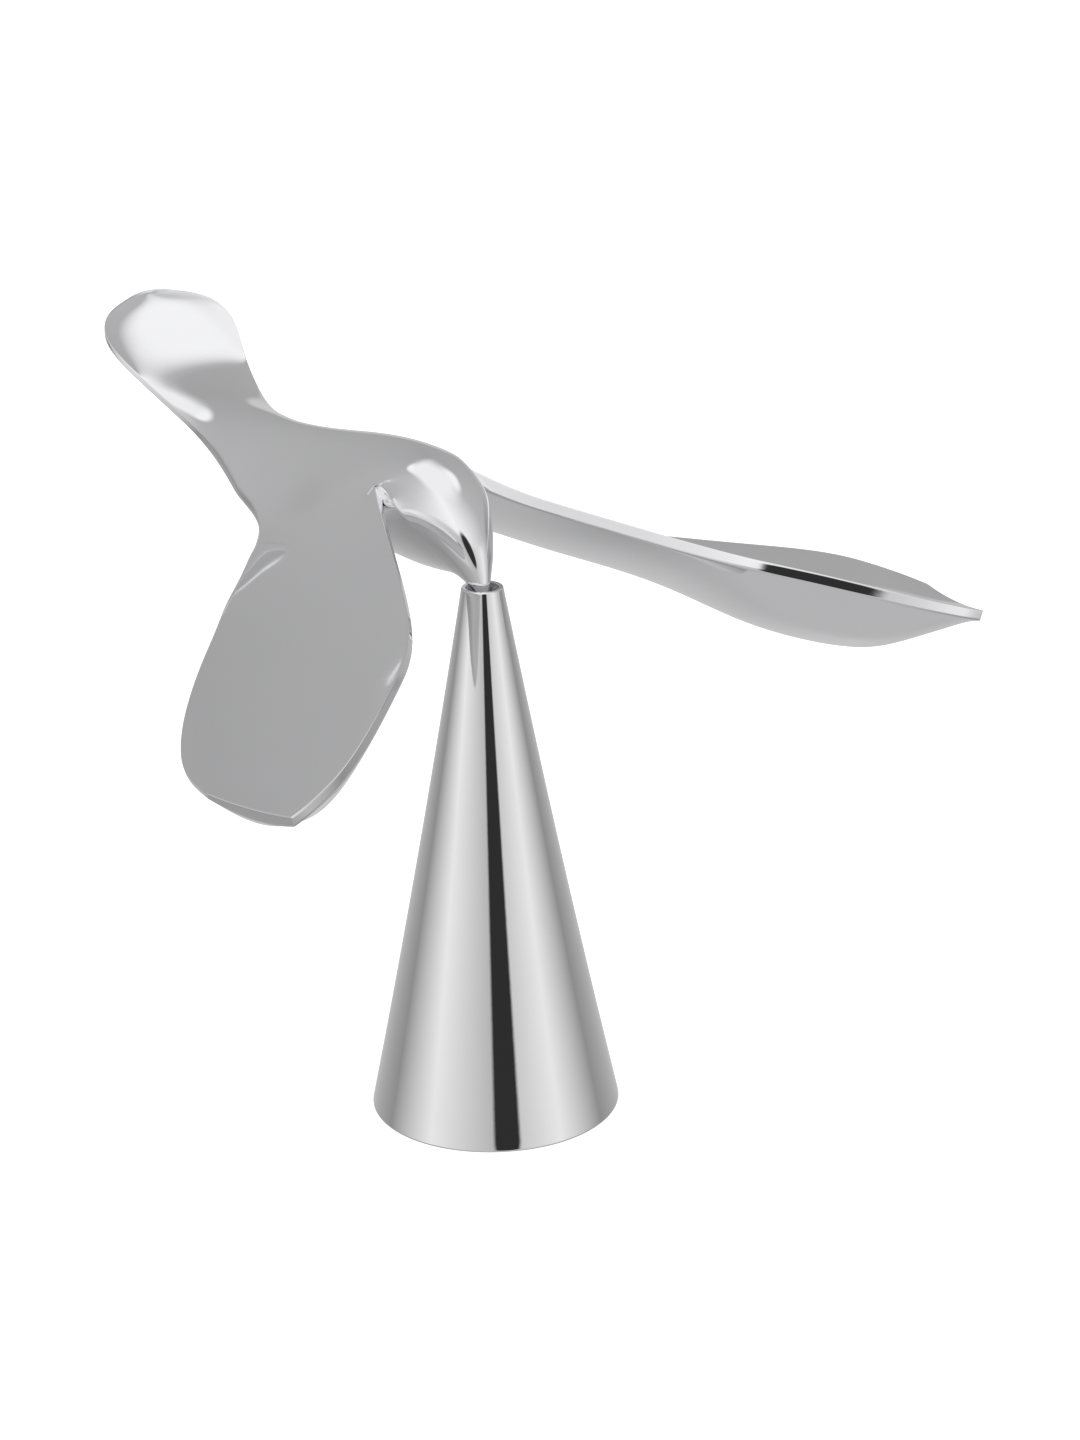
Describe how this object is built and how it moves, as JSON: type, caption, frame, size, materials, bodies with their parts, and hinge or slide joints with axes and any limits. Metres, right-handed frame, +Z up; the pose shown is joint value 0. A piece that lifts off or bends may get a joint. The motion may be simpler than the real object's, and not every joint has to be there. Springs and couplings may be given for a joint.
{
  "type": "balancing bird on a cone stand",
  "caption": "Polished metal bird with forward-swept wings that balances, spins and rocks on the tip of its beak in a cup at the top of a cone.",
  "frame": {"origin": "centre of the stand's flat underside", "axes": "+Z up along the cone's axis; the bird faces -Y at rest and its left wing points to +X"},
  "size_m": [0.1584, 0.1574, 0.1346],
  "materials": {
    "bird_chrome": "polished",
    "stand_chrome": "polished",
    "hard_steel": "ground",
    "plate_steel": "zinc plated",
    "cast_iron": "as cast",
    "pad_rubber": "matt"
  },
  "bodies": {
    "stand": {"cone_shell": "stand_chrome", "ballast": "cast_iron", "base_plate": "plate_steel", "base_screw": "plate_steel", "foot_pad": "pad_rubber"},
    "cup": {"seat_cup": "hard_steel"},
    "ball": {"pivot_ball": "hard_steel"},
    "pin": {"pivot_pin": "hard_steel"},
    "bird": {"torso": "bird_chrome", "left_wing": "bird_chrome", "right_wing": "bird_chrome", "tail": "bird_chrome"}
  },
  "joints": [
    {"name": "rock_heading", "type": "hinge", "parent": "stand", "child": "cup", "pos_m": [0, 0, 0.0994], "axis": [0, 0, 1], "continuous": true},
    {"name": "lift_off", "type": "slide", "parent": "cup", "child": "ball", "axis": [0, 0, 1], "range_m": [0, 0.06]},
    {"name": "rock", "type": "hinge", "parent": "ball", "child": "pin", "pos_m": [0, 0, 0.0994], "axis": [1, 0, 0], "range_deg": [-6, 6]},
    {"name": "spin", "type": "hinge", "parent": "pin", "child": "bird", "pos_m": [0, 0, 0.0994], "axis": [0, 0, 1], "continuous": true}
  ]
}
